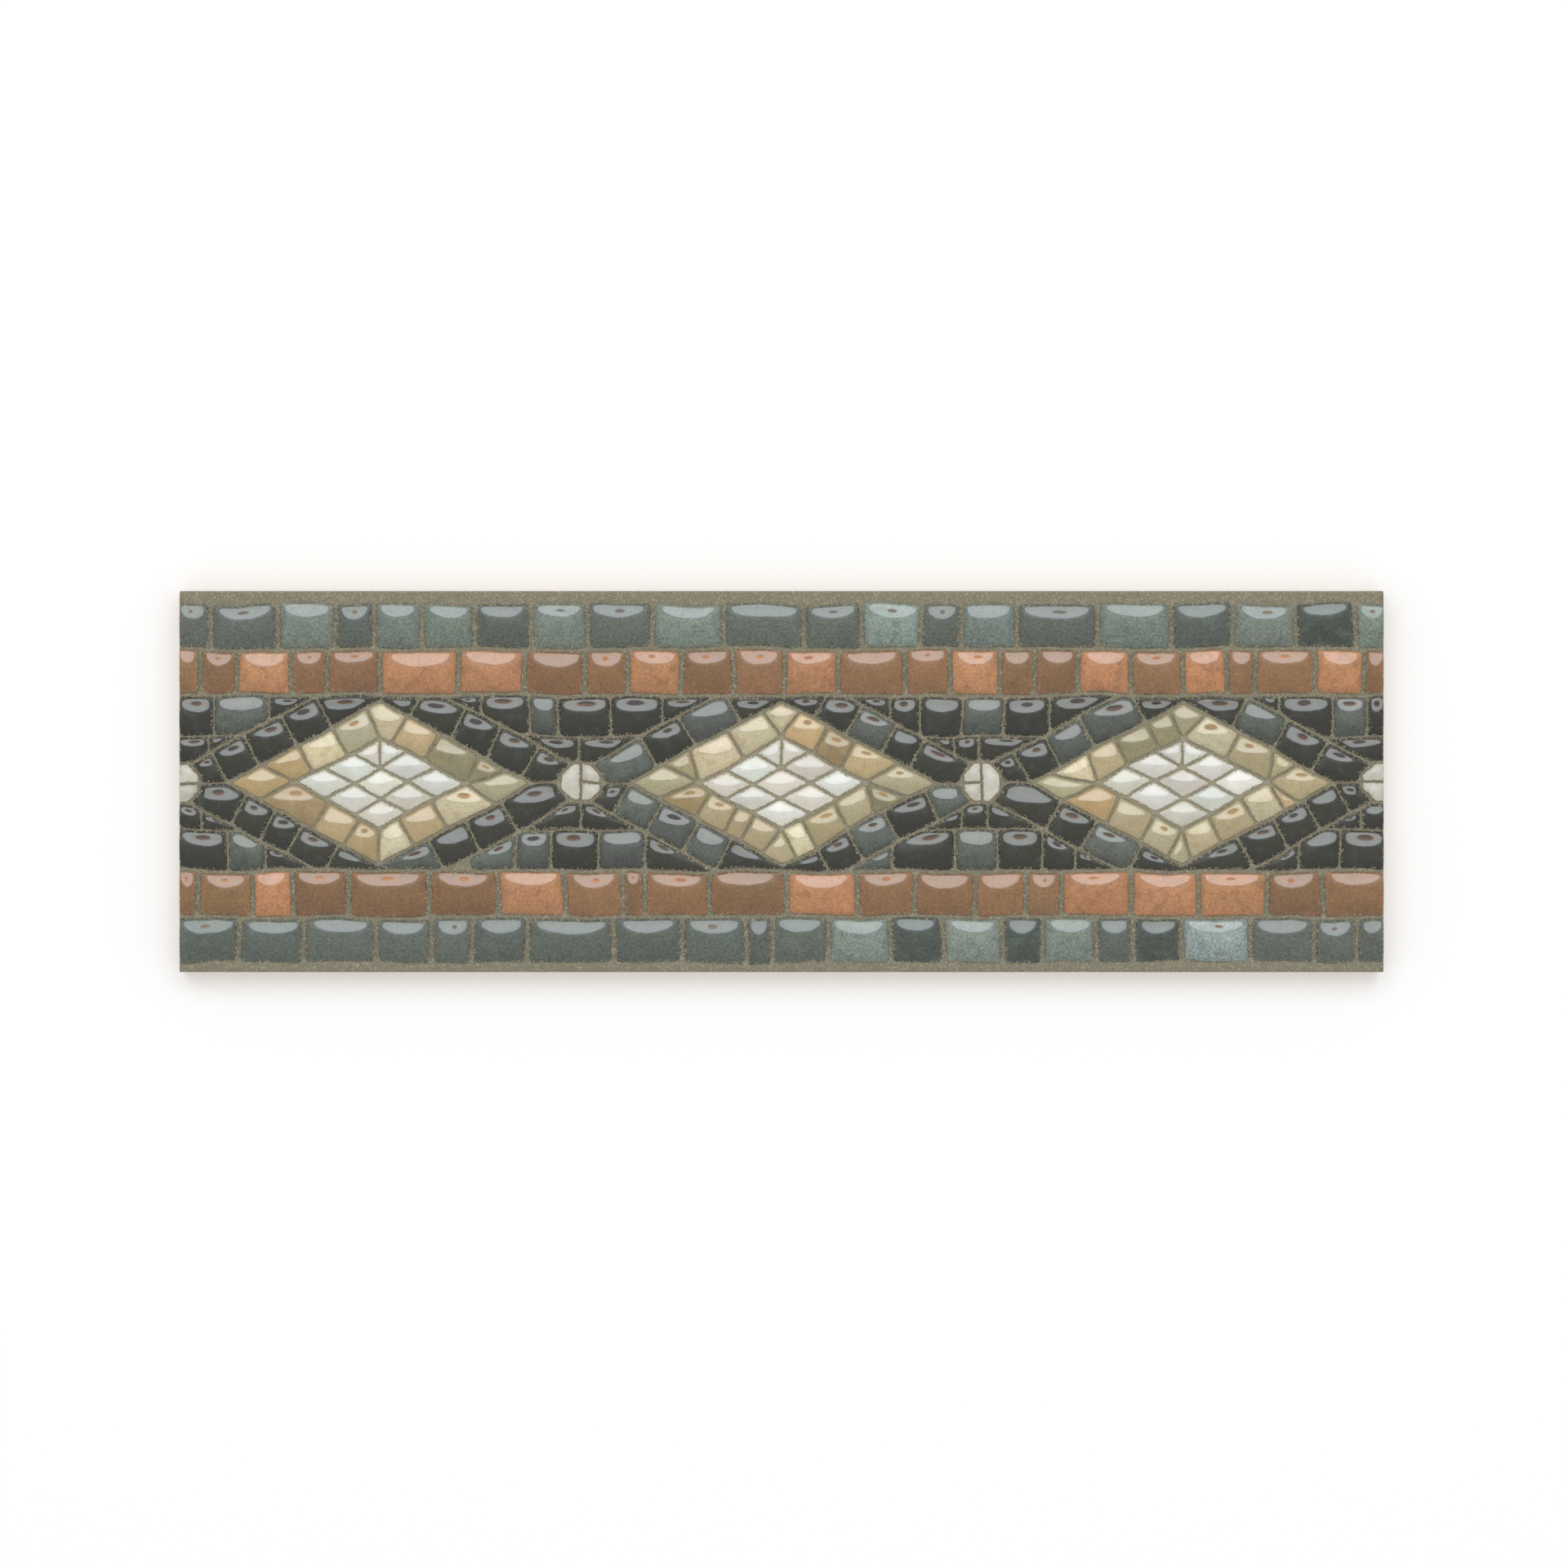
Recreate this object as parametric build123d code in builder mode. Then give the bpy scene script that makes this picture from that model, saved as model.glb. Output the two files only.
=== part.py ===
from build123d import *

import os
from math import atan2, cos

# Border tile: one pressed, fired and glazed listello. Its face carries a moulded mosaic:
# two rows of oblong tesserae along each long edge and a chain of three lozenges between.
# X runs along the border, Y across it, and Z out of the face. The back lies on Z = 0.

# Tile body, in millimetres
tile_length = 300.0
tile_width = 95.0
body_thickness = 7.6  # from the back up to the bed of the joints
arris = 0.6  # chamfer along the long edges, front and back

# Bands of the face, from the upper long edge down
upper_strip = 3.4  # plain strip beside the upper slate row
lower_strip = 2.6  # plain strip beside the lower slate row
slate_row = 11.1
terracotta_row = 11.5

# Joints between the tesserae
row_joint = 1.4  # upright joints in the rows
bed_joint = 1.1  # long joints between the rows
field_joint = 0.9  # lines that frame the lozenges
fine_joint = 0.7  # cross joints inside the field

# Tesserae: a drafted foot and a bevelled crown
foot_height = 0.8
foot_draft = 14.0
crown_height = 0.6
crown_slope = 45.0
smallest_inradius = 1.0  # a sliver below this is left as joint

# Lozenges of the field
lozenge_count = 3
lozenge_length = 76.0  # over the side tips of the amber ring
tip_clearance = 1.4  # from the ring's upper and lower tips to the field's edge
ring_width = 8.0  # amber ring, across its sides
course_width = 8.7  # black course round the ring
core_cells = 3  # white cells along one side of the core
tip_catch = 0.12  # a ring joint that ends this near a tip of the core, as a share, ends on it
corner_stone = 10.0  # eight-sided white stone between two lozenges, across its flats
filler_row = 10.3  # row of filler tesserae along the field's edges

# Keying on the back: drafted pockets with ribs between
pocket_columns = 12
pocket_rows = 4
rib_width = 4.0
back_border = 7.0
pocket_depth = 1.0
pocket_draft = 30.0

# Hand-laid rhythm of the rows: relative widths of the tesserae from left to right
upper_slate = (7.5, 17, 14, 10, 11.5, 13.5, 14, 14, 16, 18, 19.5, 15, 14.5, 10, 13.5, 20.5, 18,
               15.5, 15.5, 15, 7)
upper_terracotta = (5, 9.5, 13.5, 9, 13, 19.5, 16.5, 15, 11, 13, 13, 12.5, 13.5, 17, 11, 12, 9, 11,
                    13, 13, 11, 7, 15, 12, 5)
lower_terracotta = (4.5, 13.5, 10, 14, 20, 17.5, 16, 15, 5.5, 16, 19, 17.5, 14.5, 15, 12.5, 9, 17,
                    17, 17, 14, 15)
lower_slate = (15, 16, 18, 14, 10, 14, 21, 17.5, 15.5, 7, 14, 15.5, 13, 15, 10, 13.5, 9, 12, 17.5,
               15.5, 11, 6.5)

# Cross joints of each lozenge, in the order upper left, upper right, lower left, lower right,
# as shares of the side from its left or right tip (0) to its upper or lower tip (1)
ring_joints = (
    ((0.23, 0.46, 0.68, 0.91), (0.17, 0.36, 0.61, 0.82), (0.20, 0.56, 0.76, 1.0), (0.24, 0.56, 0.78)),
    ((0.22, 0.40, 0.65, 0.87), (0.23, 0.51, 0.69, 0.87), (0.19, 0.43, 0.62, 0.73, 0.87),
     (0.17, 0.39, 0.56, 0.78, 0.91)),
    ((0.12, 0.38, 0.55, 0.75, 0.90), (0.25, 0.40, 0.62, 0.85), (0.20, 0.49, 0.72, 0.90),
     (0.24, 0.34, 0.52, 0.74, 0.94)),
)
course_joints = (
    ((0.0, 0.21, 0.45, 0.68), (0.07, 0.31, 0.54, 0.81), (0.12, 0.32, 0.50, 0.74),
     (0.21, 0.45, 0.69)),
    ((0.18, 0.44, 0.74), (0.17, 0.35, 0.58, 0.78), (0.0, 0.22, 0.45, 0.68), (0.08, 0.33, 0.57, 0.77)),
    ((0.0, 0.20, 0.43, 0.75), (0.16, 0.41, 0.68), (0.20, 0.43, 0.74), (0.0, 0.21, 0.42, 0.65)),
)

# Upright joints of the filler between the lozenges, measured from the middle of each gap:
# outer row above, inner row above, inner row below, outer row below
filler_joints = (
    ((8.5, 22.3), (7.1,), (5.6,), (11.7, 21.7)),
    ((-24.6, -12.8, -5.9, 7.5, 20.5), (-0.8,), (0.0,), (-27.6, -16.3, -7.3, 4.7, 16.1)),
    ((-23.2, -15.4, -4.7, 5.5, 16.7), (-6.7, -0.4), (-5.0, 1.4), (-22.2, -6.7, 3.7, 14.8, 23.2)),
    ((-25.8, -13.0, -4.1), (), (-5.7,), (-21.1, -10.6)),
)

# Worked out from the sizes above
end_overrun = corner_stone / 2 + row_joint  # the pattern is drawn past both ends, then cut flush
drawn_length = tile_length + 2 * end_overrun
upper_edge = tile_width / 2 - upper_strip
lower_edge = -tile_width / 2 + lower_strip
field_top = upper_edge - slate_row - terracotta_row
field_bottom = lower_edge + slate_row + terracotta_row
field_middle = (field_top + field_bottom) / 2
field_half = (field_top - field_bottom) / 2

pitch = tile_length / lozenge_count
ring_half_length = lozenge_length / 2
ring_half_height = field_half - tip_clearance
side_angle = atan2(ring_half_height, ring_half_length)
core_half_height = ring_half_height - ring_width / cos(side_angle)
core_half_length = core_half_height * ring_half_length / ring_half_height
course_half_height = ring_half_height + course_width / cos(side_angle)
course_half_length = course_half_height * ring_half_length / ring_half_height
filler_line = field_half - filler_row

lozenge_middles = [(index + 0.5) * pitch - tile_length / 2 for index in range(lozenge_count)]
gap_middles = [index * pitch - tile_length / 2 for index in range(lozenge_count + 1)]
sides = ((-1, 1), (1, 1), (-1, -1), (1, -1))  # signs of X and Y, in the order of the joint lists


def joint(start, end, width):
    """One straight joint in the plane of the face, given by its middle line."""
    with BuildSketch() as strip:
        with BuildLine():
            Line(start, end)
        trace(line_width=width)
    return strip.sketch


def row_of_joints(widths, bottom, height):
    """Upright joints that part one row into tesserae of the given relative widths."""
    scale = tile_length / sum(widths)
    x = -tile_length / 2
    strips = []
    for width in widths[:-1]:
        x += width * scale
        strips.append(joint((x, bottom), (x, bottom + height), row_joint))
    return strips


def on_side(middle, side, half_length, half_height, share):
    """Point on one side of a lozenge, the share running from its side tip to its upper or lower tip."""
    x_sign, y_sign = side
    return Vector(
        middle + x_sign * half_length * (1 - share),
        field_middle + y_sign * half_height * share,
    )


def frame_lines(middle):
    """Lines round the core and the ring, and the outer line of the black course."""
    strips = []
    for side in sides:
        for half_length, half_height in (
            (core_half_length, core_half_height),
            (ring_half_length, ring_half_height),
        ):
            start = on_side(middle, side, half_length, half_height, 0)
            end = on_side(middle, side, half_length, half_height, 1)
            strips.append(joint(start, end, field_joint))
        reach = field_half / course_half_height
        start = on_side(middle, side, course_half_length, course_half_height, 0)
        end = on_side(middle, side, course_half_length, course_half_height, reach)
        strips.append(joint(start, end, field_joint))
    return strips


def core_lines(middle):
    """Joints that part the core into equal rhombic cells, and the upright joint of its top cell."""
    left = on_side(middle, (-1, 1), core_half_length, core_half_height, 0)
    top = on_side(middle, (-1, 1), core_half_length, core_half_height, 1)
    right = on_side(middle, (1, -1), core_half_length, core_half_height, 0)
    bottom = on_side(middle, (1, -1), core_half_length, core_half_height, 1)
    strips = []
    for cell in range(1, core_cells):
        share = cell / core_cells
        strips.append(joint(left + (bottom - left) * share, top + (right - top) * share, fine_joint))
        strips.append(joint(left + (top - left) * share, bottom + (right - bottom) * share, fine_joint))
    cell_foot = top + (bottom - top) / core_cells
    strips.append(joint(top, cell_foot, fine_joint))
    return strips


def cross_joints(middle, ring_lists, course_lists):
    """Joints across the ring and the black course, square to the sides, and one from each ring tip."""
    strips = []
    for side, ring_shares, course_shares in zip(sides, ring_lists, course_lists):
        for share in ring_shares:
            outer = on_side(middle, side, ring_half_length, ring_half_height, share)
            foot = (ring_half_height * share - ring_width * cos(side_angle)) / core_half_height
            foot = 0.0 if foot < tip_catch else 1.0 if foot > 1.0 - tip_catch else foot
            inner = on_side(middle, side, core_half_length, core_half_height, foot)
            strips.append(joint(inner, outer, fine_joint))
        for share in course_shares:
            inner = on_side(middle, side, ring_half_length, ring_half_height, share)
            outward = Vector(side[0] * ring_half_height, side[1] * ring_half_length).normalized()
            room = (field_half - ring_half_height * share) / cos(side_angle)
            strips.append(joint(inner, inner + outward * min(course_width, room), fine_joint))
    for sign in (-1, 1):
        side_tip = Vector(middle + sign * ring_half_length, field_middle)
        strips.append(joint(side_tip, Vector(middle + sign * pitch / 2, field_middle), fine_joint))
        end_tip = Vector(middle, field_middle + sign * ring_half_height)
        strips.append(joint(end_tip, Vector(middle, field_middle + sign * field_half), field_joint))
    return strips


def course_height(x):
    """Height above the field's middle of the black course's outer line at a place along the tile."""
    away = min(abs(x - middle) for middle in lozenge_middles)
    return course_half_height * (1 - away / course_half_length)


def filler_lines(gap, joint_lists):
    """Joints of the filler rows in the gap between two lozenges, above and below the corner stone."""
    outer_above, inner_above, inner_below, outer_below = joint_lists
    half_width = pitch / 2 - course_half_length * (1 - filler_line / course_half_height)
    strips = []
    for y_sign, outer, inner in ((1, outer_above, inner_above), (-1, outer_below, inner_below)):
        y = field_middle + y_sign * filler_line
        strips.append(joint((gap - half_width, y), (gap + half_width, y), fine_joint))
        for offset in outer:
            start = max(filler_line, course_height(gap + offset))
            foot = (gap + offset, field_middle + y_sign * start)
            strips.append(joint(foot, (gap + offset, field_middle + y_sign * field_half), fine_joint))
        for offset in inner:
            start = max(0.0, course_height(gap + offset))
            foot = (gap + offset, field_middle + y_sign * start)
            strips.append(joint(foot, (gap + offset, field_middle + y_sign * filler_line), fine_joint))
    return strips


def inradius(face):
    """Radius of the circle that fits a piece, from its area and the length of its outline."""
    return 2 * face.area / face.outer_wire().length


# Every joint of the face
joints = row_of_joints(upper_slate, upper_edge - slate_row, slate_row)
joints += row_of_joints(upper_terracotta, field_top, terracotta_row)
joints += row_of_joints(lower_terracotta, field_bottom - terracotta_row, terracotta_row)
joints += row_of_joints(lower_slate, lower_edge, slate_row)
for level in (upper_edge - slate_row, field_top, field_bottom, lower_edge + slate_row):
    joints.append(joint((-drawn_length / 2, level), (drawn_length / 2, level), bed_joint))
for place, middle in enumerate(lozenge_middles):
    joints += frame_lines(middle)
    joints += core_lines(middle)
    joints += cross_joints(
        middle,
        ring_joints[place % len(ring_joints)],
        course_joints[place % len(course_joints)],
    )
for place, gap in enumerate(gap_middles):
    joints += filler_lines(gap, filler_joints[place % len(filler_joints)])

# The white corner stones, each laid in two or three pieces
with BuildSketch() as corner_stones:
    with Locations(*[(gap, field_middle) for gap in gap_middles]):
        RegularPolygon(
            corner_stone / 2 - field_joint / 2, 8, major_radius=False, rotation=22.5
        )
    for place, gap in enumerate(gap_middles):
        at_end = place in (0, lozenge_count)
        if not at_end:
            with Locations((gap, field_middle)):
                Rectangle(fine_joint, corner_stone, mode=Mode.SUBTRACT)
        split_side = 0 if at_end else corner_stone / 4 * (-1) ** (place + 1)
        split_length = 2 * corner_stone if at_end else corner_stone / 2
        with Locations((gap + split_side, field_middle)):
            Rectangle(split_length, fine_joint, mode=Mode.SUBTRACT)

# Outlines of all the tesserae at the bed of the joints
with BuildSketch(Plane.XY.offset(body_thickness)) as tesserae:
    with Locations((0, (upper_edge + lower_edge) / 2)):
        Rectangle(drawn_length, upper_edge - lower_edge)
    add(joints, mode=Mode.SUBTRACT)
    with Locations(*[(gap, field_middle) for gap in gap_middles]):
        RegularPolygon(
            corner_stone / 2 + field_joint / 2, 8, major_radius=False, rotation=22.5,
            mode=Mode.SUBTRACT,
        )
    add(corner_stones.sketch)

outlines = tesserae.sketch.faces().filter_by(lambda face: inradius(face) > smallest_inradius)

# The tile: slab, tesserae, cut ends, arrises and the keyed back
with BuildPart() as border_tile:
    with BuildSketch():
        Rectangle(drawn_length, tile_width)
    extrude(amount=body_thickness)
    chamfer(border_tile.edges().filter_by(Axis.X), length=arris)
    extrude(outlines, amount=foot_height, taper=foot_draft)
    extrude(
        border_tile.faces().group_by(Axis.Z)[-1], amount=crown_height, taper=crown_slope
    )
    with BuildSketch():
        Rectangle(tile_length, tile_width)
    extrude(amount=body_thickness + foot_height + crown_height, mode=Mode.INTERSECT)
    pocket_length = (tile_length - 2 * back_border + rib_width) / pocket_columns - rib_width
    pocket_width = (tile_width - 2 * back_border + rib_width) / pocket_rows - rib_width
    with BuildSketch():
        with GridLocations(
            pocket_length + rib_width, pocket_width + rib_width, pocket_columns, pocket_rows
        ):
            Rectangle(pocket_length, pocket_width)
    extrude(amount=pocket_depth, taper=pocket_draft, mode=Mode.SUBTRACT)

border_tile.part.label = "border_tile"

os.makedirs("parts", exist_ok=True)
export_step(border_tile.part, "parts/border_tile.step")
print(len(outlines), "tesserae")
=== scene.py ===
# %% [markdown]
# # A border tile with a mosaic face
# The object is one pressed, fired and glazed border tile, 300 mm long. Its face is moulded as a
# mosaic: rows of slate and terracotta tesserae along the long edges, and a chain of lozenges between.
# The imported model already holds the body, the joints and the place of every tessera.
# This lesson reads those places back, grows a soft glazed cushion on each, and mixes the glazes.
# X runs along the border, Y across it and Z out of the face, in metres.

import bpy
import numpy as np
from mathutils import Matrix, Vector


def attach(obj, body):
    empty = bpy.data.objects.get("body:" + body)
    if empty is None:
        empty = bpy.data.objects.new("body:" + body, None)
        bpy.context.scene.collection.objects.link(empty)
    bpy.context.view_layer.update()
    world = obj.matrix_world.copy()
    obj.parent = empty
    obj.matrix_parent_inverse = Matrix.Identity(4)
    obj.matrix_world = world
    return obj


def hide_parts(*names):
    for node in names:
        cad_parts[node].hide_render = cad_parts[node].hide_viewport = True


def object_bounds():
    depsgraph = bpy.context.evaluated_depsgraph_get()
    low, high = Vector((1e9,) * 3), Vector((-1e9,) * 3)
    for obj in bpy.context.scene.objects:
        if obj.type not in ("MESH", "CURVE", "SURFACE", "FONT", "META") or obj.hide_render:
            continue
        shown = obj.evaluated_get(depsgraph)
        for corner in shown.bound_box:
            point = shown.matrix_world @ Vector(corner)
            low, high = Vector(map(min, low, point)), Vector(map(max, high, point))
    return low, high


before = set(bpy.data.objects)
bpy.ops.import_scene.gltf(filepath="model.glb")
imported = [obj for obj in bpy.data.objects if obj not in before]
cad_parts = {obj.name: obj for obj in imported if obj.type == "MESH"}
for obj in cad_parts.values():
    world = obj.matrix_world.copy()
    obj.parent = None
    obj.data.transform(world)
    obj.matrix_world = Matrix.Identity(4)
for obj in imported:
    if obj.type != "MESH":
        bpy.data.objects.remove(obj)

cad_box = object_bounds()
low, high = (np.array(corner) for corner in cad_box)
tile_length, tile_width = (high - low)[:2]
tile_half_length, tile_half_width = tile_length / 2, tile_width / 2
mm = 0.001
print("tile", np.round((high - low) / mm, 2), "mm")

# %% [markdown]
# ## Camera
# The photograph looks straight down on the tile, which lies flat. A long lens keeps the edges
# parallel. The tile's length in the picture gives the size of a pixel, and that sets the distance.

# %% Camera
photo_side = 1920
tile_span = 1476
tile_middle = np.array([957, 957])
pixel = tile_length / tile_span
sight = (photo_side / 2 - tile_middle) * pixel
lens_length = 100
sensor_width = 36
distance = photo_side * pixel * lens_length / sensor_width
studio = bpy.context.scene


def put(obj):
    """Links an object into the scene."""
    studio.collection.objects.link(obj)
    return obj


camera = put(bpy.data.objects.new("camera", bpy.data.cameras.new("camera")))
camera.data.lens = lens_length
camera.data.sensor_width = sensor_width
camera.location = (sight[0], -sight[1], high[2] + distance)
studio.camera = camera
studio.view_settings.view_transform = "Standard"
print("camera", round(distance, 3), "m above the face")

# %% [markdown]
# ## Light
# Soft light keeps the colours as they are written. The world gives an even share from all round, and
# one large softbox beyond the upper long edge gives the relief its shape. Together they light a
# level surface with about one unit. The camera and mirror rays see the world as plain white.

# %% Light
sky_level = 0.80
softbox_distance = 2.4
softbox_tilt = np.radians(32)
softbox_size = (2.6, 1.5)
softbox_share = 0.24


def softbox(name, tilt, distance, size, share):
    """A lamp beyond the upper edge, turned to the tile. Its power is pi squared times its share of the
    light, times the distance squared, over the cosine of its tilt."""
    lamp = bpy.data.lights.new(name, "AREA")
    lamp.shape = "RECTANGLE"
    lamp.size, lamp.size_y = size
    lamp.energy = share * np.pi ** 2 * distance ** 2 / np.cos(tilt)
    obj = put(bpy.data.objects.new(name, lamp))
    obj.location = (0, distance * np.sin(tilt), distance * np.cos(tilt))
    obj.rotation_euler = (-tilt, 0, 0)
    return obj


def add(tree, kind, inputs=(), **settings):
    """Adds a node, sets its properties, then links or writes each of the given input sockets."""
    made = tree.nodes.new(kind)
    for name, value in settings.items():
        setattr(made, name, value)
    for name, value in dict(inputs).items():
        if isinstance(value, bpy.types.NodeSocket):
            tree.links.new(value, made.inputs[name])
        else:
            made.inputs[name].default_value = value
    return made


def math(tree, operation, first, second=0.0, third=0.0):
    """One step of arithmetic on numbers."""
    return add(tree, "ShaderNodeMath", {0: first, 1: second, 2: third}, operation=operation).outputs[0]


def seen_rays(tree):
    """1 for the camera's own rays and for mirror and glass rays, 0 for the rays that light a surface."""
    path = add(tree, "ShaderNodeLightPath").outputs
    mirrored = math(tree, "MAXIMUM", path["Is Glossy Ray"], path["Is Transmission Ray"])
    return math(tree, "MAXIMUM", path["Is Camera Ray"], mirrored)


def studio_world(level):
    """Even white light at the given level, seen as white at strength 1."""
    made = bpy.data.worlds.new("studio")
    made.use_nodes = True
    tree = made.node_tree
    strength = add(tree, "ShaderNodeMapRange", {"Value": seen_rays(tree), "To Min": level, "To Max": 1.0})
    tree.links.new(strength.outputs[0], tree.nodes["Background"].inputs["Strength"])
    tree.nodes["Background"].inputs["Color"].default_value = (1, 1, 1, 1)
    return made


studio.world = studio_world(sky_level)
key_light = softbox("softbox", softbox_tilt, softbox_distance, softbox_size, softbox_share)
print("softbox", round(key_light.data.energy, 1), "W")

# %% [markdown]
# ## Reading the crowns
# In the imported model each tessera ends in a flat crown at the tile's highest level. The triangles
# there fall into islands, one for each tessera. An edge that only one triangle uses is on the
# island's border, and following such edges from corner to corner walks round the outline. Levels that
# many corners share are, from below, the back, the pocket floors, the bed, the shoulders and the crowns.

# %% Read the crowns
merge_step = 1e-6
near = 10 * merge_step
line_digits = 5
level_corners = 150
node_name = "border_tile"


def read_mesh(node):
    """Corners and triangles of a node, with corners at the same place merged into one."""
    mesh = node.data
    mesh.calc_loop_triangles()
    corners = np.empty(len(mesh.vertices) * 3, np.float32)
    mesh.vertices.foreach_get("co", corners)
    triangles = np.empty(len(mesh.loop_triangles) * 3, np.int32)
    mesh.loop_triangles.foreach_get("vertices", triangles)
    steps = np.round(corners.reshape(-1, 3).astype(float) / merge_step).astype(np.int64)
    places, merged = np.unique(steps, axis=0, return_inverse=True)
    return places * merge_step, merged.reshape(-1)[triangles].reshape(-1, 3)


def island_labels(count, edges):
    """Every edge passes the lower label of its two ends on, until nothing changes."""
    label = np.arange(count)
    while True:
        passed = label.copy()
        np.minimum.at(passed, edges, label[edges].min(axis=1)[:, None])
        if np.array_equal(passed, label):
            return label
        label = passed


def walk_borders(corner_count, triangles):
    """Corner numbers round each island, counter-clockwise from above, and how many corners it has.
    The table is as wide as the longest outline, and a shorter one goes round again."""
    edges = np.concatenate([triangles[:, [0, 1]], triangles[:, [1, 2]], triangles[:, [2, 0]]])
    alike = np.sort(edges, axis=1)
    first, uses = np.unique(alike, axis=0, return_index=True, return_counts=True)[1:]
    border = edges[first[uses == 1]]
    following = np.arange(corner_count)
    following[border[:, 0]] = border[:, 1]
    label = island_labels(corner_count, border)
    start, sides = np.unique(label[border[:, 0]], return_index=True, return_counts=True)[1:]
    walk = [border[start, 0]]
    for step in range(sides.max()):
        walk.append(following[walk[-1]])
    return np.stack(walk, axis=1), sides


corners, triangles = read_mesh(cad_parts[node_name])
levels, uses = np.unique(np.round(corners[:, 2], line_digits), return_counts=True)
pocket_depth, bed_level = levels[uses > level_corners][1:3]
on_crown = np.all(corners[triangles, 2] > high[2] - near, axis=1)
walk, sides = walk_borders(len(corners), triangles[on_crown])
crown = corners[walk, :2]
print(len(sides), "crowns, with at most", sides.max(), "sides; bed", round(bed_level / mm, 2), "mm")

# %% [markdown]
# ## From crown to foot
# A crown stands back from the foot of its tessera, by the draft of the foot and the bevel above it.
# The cushions are wanted at the foot, so every side moves out again by that set-back. Sides on the
# tile's two sawn ends stay where they are, because there the pattern is cut straight through.

# %% From crown to foot
crown_setback = 0.9 * mm
straight_enough = 0.02
shortest_side = 0.3 * mm
tiny = 1e-12


def unit(vectors):
    """Vectors at length one."""
    return vectors / np.maximum(np.linalg.norm(vectors, axis=-1, keepdims=True), tiny)


def spread_outline(crown, sides):
    """Moves each side out by its set-back; a corner goes to where its two moved sides meet.
    With side normals a and b, c = a.b and set-backs p and q, the corner moves by
    (p - qc)/(1 - cc) along a and (q - pc)/(1 - cc) along b."""
    step = np.arange(crown.shape[1] - 1)
    before = np.where(step == 0, sides[:, None] - 1, step - 1)
    along = crown[:, 1:] - crown[:, :-1]
    normal = unit(np.stack([along[..., 1], -along[..., 0]], axis=-1))
    at_end = np.abs(np.abs(crown[..., 0]) - tile_half_length) < near
    setback = np.where(at_end[:, 1:] & at_end[:, :-1], 0, crown_setback)
    a = np.take_along_axis(normal, before[..., None], axis=1)
    p = np.take_along_axis(setback, before, axis=1)
    cosine = np.sum(a * normal, axis=-1)
    squared_sine = 1 - cosine ** 2
    straight = squared_sine < straight_enough
    divisor = np.where(straight, 1, squared_sine)
    along_a = np.where(straight, p / 2, (p - setback * cosine) / divisor)
    along_b = np.where(straight, setback / 2, (setback - p * cosine) / divisor)
    foot = crown[:, :-1] + along_a[..., None] * a + along_b[..., None] * normal
    return foot, normal


foot, side_normal = spread_outline(crown, sides)
step = np.arange(foot.shape[1])
next_corner = np.where(step + 1 < sides[:, None], step + 1, 0)
side_start = foot
side_end = np.take_along_axis(foot, next_corner[..., None], axis=1)
side_length = np.linalg.norm(side_end - side_start, axis=-1)
real_side = (step < sides[:, None]) & (side_length > shortest_side)
sawn_side = np.abs(side_start[..., 0] + side_end[..., 0]) > 2 * (tile_half_length - near)
tessera_count = len(foot)
print("feet reach", np.round(np.abs(foot).max(axis=(0, 1)) / mm, 2), "mm from the middle")

# %% [markdown]
# ## Soft outlines
# Real tesserae are nipped and ground by hand, so their corners are blunt. Points spread evenly
# round the outline and averaged with their neighbours round every corner a little, and
# the same number of points on each tessera lets one array hold them all.

# %% Soft outlines
outline_points = 64


def even_points(foot, sides, count):
    """Places at even steps of length round each outline, interpolated on one long axis for all of them."""
    step = np.arange(foot.shape[1] + 1)
    index = np.where(step < sides[:, None], step, 0)
    ring = np.take_along_axis(foot, index[..., None], axis=1)
    length = np.linalg.norm(np.diff(ring, axis=1), axis=-1)
    travelled = np.concatenate([np.zeros((len(foot), 1)), np.cumsum(length, axis=1)], axis=1)
    lane = np.arange(len(foot))[:, None]
    wanted = lane + travelled[:, -1:] * np.arange(count) / count
    axes = [np.interp(wanted.ravel(), (lane + travelled).ravel(), ring[..., i].ravel()) for i in range(2)]
    return np.stack(axes, axis=-1).reshape(len(foot), count, 2)


def blunt(outline):
    """Each point becomes half itself and a quarter of each neighbour."""
    return (np.roll(outline, 1, axis=1) + 2 * outline + np.roll(outline, -1, axis=1)) / 4


outline = blunt(even_points(foot, sides, outline_points))
middle = outline.mean(axis=1)
print("outlines", outline.shape)

# %% [markdown]
# ## Which tessera is which
# A row is known by its height on the tile. In the field a lozenge gauge tells the rest: it is 0 in the
# middle of a lozenge, 1 on its ring's outer edge, and grows on outwards. Pieces are then put in order,
# along X in a row and clockwise round a lozenge.

# %% Which tessera is which
row_edges = np.array([-33.8, -22.3, 21.5, 33.0]) * mm
field_middle = -0.4 * mm
ring_half = np.array([38.0, 20.5]) * mm
lozenge_middles = np.array([-100.0, 0.0, 100.0]) * mm
gap_middles = np.array([-150.0, -50.0, 50.0, 150.0]) * mm
filler_line = 11.6 * mm
core_gauge = 0.56
course_gauge = 1.49
stone_reach = 4.5 * mm
core_line = 2 * mm
tip_turn = 0.2


def lozenge_gauge(points):
    """Distance from the nearest lozenge's middle: along X over the ring's half length,
    plus along Y over its half height."""
    along_x = np.abs(points[:, :1] - lozenge_middles).min(axis=1)
    return along_x / ring_half[0] + np.abs(points[:, 1] - field_middle) / ring_half[1]


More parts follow.
